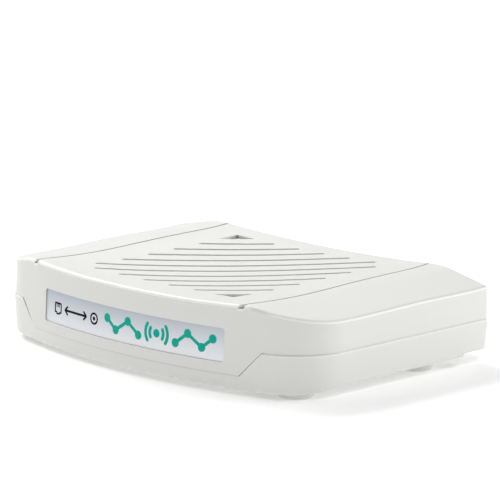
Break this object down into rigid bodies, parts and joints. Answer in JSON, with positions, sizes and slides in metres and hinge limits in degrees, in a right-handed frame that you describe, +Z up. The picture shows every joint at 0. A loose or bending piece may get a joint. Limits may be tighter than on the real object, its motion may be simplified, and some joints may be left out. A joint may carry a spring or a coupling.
{
  "type": "cable modem",
  "caption": "Low desktop cable modem: white two-shell casing with bowed front, slotted top, label strip, feet, coax and network sockets, and rear push buttons.",
  "frame": {"origin": "on the table plane, below the middle of the whole box (casing and coax connectors)", "axes": "+X right seen from the front, +Y from the front to the back, +Z up"},
  "size_m": [0.1606, 0.1144, 0.0324],
  "materials": {
    "casing": "fine matte moulded off-white plastic",
    "rear_panel": "matte off-white plastic plate",
    "label": "satin silver-blue printed film",
    "sticker": "blank white paper sticker",
    "feet": "white soft rubber",
    "screw_steel": "zinc plated steel",
    "board": "green solder mask over glass fibre",
    "antenna_board": "green solder mask with copper tracks",
    "nickel": "nickel plate",
    "insulator": "white insulator",
    "gold": "thin gold plate",
    "black_plastic": "black moulded plastic",
    "shield_tin": "bright tin plate",
    "pin_metal": "nickel plate",
    "switch_body": "black moulded plastic",
    "button_grey": "grey moulded plastic",
    "plunger_white": "natural nylon",
    "chip_black": "black epoxy",
    "thermal_pad": "soft blue-grey silicone",
    "heatsink": "extruded aluminium",
    "capacitor": "sleeved aluminium can",
    "inductor": "dark ferrite",
    "crystal": "bright metal can",
    "led": "clear green lens",
    "cable_black": "thin black jacket"
  },
  "bodies": {
    "case": {"antenna_cable_left": "cable_black", "antenna_cable_right": "cable_black", "antenna_left": "antenna_board", "antenna_plugs": "gold", "antenna_right": "antenna_board", "board_screws": "screw_steel", "capacitors": "capacitor", "case_screws": "screw_steel", "coax_contacts": "gold", "coax_in_connector": "nickel", "coax_in_nut": "nickel", "coax_insulators": "insulator", "coax_out_connector": "nickel", "coax_out_nut": "nickel", "coax_washers": "nickel", "crystals": "crystal", "dc_jack": "black_plastic", "dc_jack_pin": "pin_metal", "flash_chip": "chip_black", "foot_front_left": "feet", "foot_front_right": "feet", "foot_rear_left": "feet", "foot_rear_right": "feet", "front_label": "label", "heatsink": "heatsink", "inductors": "inductor", "lan_contacts": "gold", "lan_housing_1": "black_plastic", "lan_housing_2": "black_plastic", "lan_housing_3": "black_plastic", "lan_housing_4": "black_plastic", "lan_shield_1": "shield_tin", "lan_shield_2": "shield_tin", "lan_shield_3": "shield_tin", "lan_shield_4": "shield_tin", "lan_transformers": "chip_black", "led_holder": "black_plastic", "lower_shell": "casing", "main_board": "board", "memory_chip": "chip_black", "modem_chip": "chip_black", "pair_switch": "switch_body", "power_switch": "switch_body", "rating_label": "sticker", "rear_panel": "rear_panel", "reset_switch": "switch_body", "status_leds": "led", "switch_chip": "chip_black", "thermal_pad": "thermal_pad", "tuner_shield": "shield_tin", "upper_shell": "casing", "wifi_chip": "chip_black", "wifi_shield": "shield_tin"},
    "power_button": {"power_button": "button_grey", "power_plunger": "plunger_white"},
    "pair_button": {"pair_button": "button_grey", "pair_plunger": "plunger_white"},
    "reset_button": {"reset_button": "button_grey"}
  },
  "joints": [
    {"name": "power_button_push", "type": "slide", "parent": "case", "child": "power_button", "axis": [0, -1, 0], "range_m": [0, 0.002], "stiffness_N_per_m": 300},
    {"name": "pair_button_push", "type": "slide", "parent": "case", "child": "pair_button", "axis": [0, -1, 0], "range_m": [0, 0.0008], "stiffness_N_per_m": 800},
    {"name": "reset_button_push", "type": "slide", "parent": "case", "child": "reset_button", "axis": [0, -1, 0], "range_m": [0, 0.0005], "stiffness_N_per_m": 800}
  ]
}
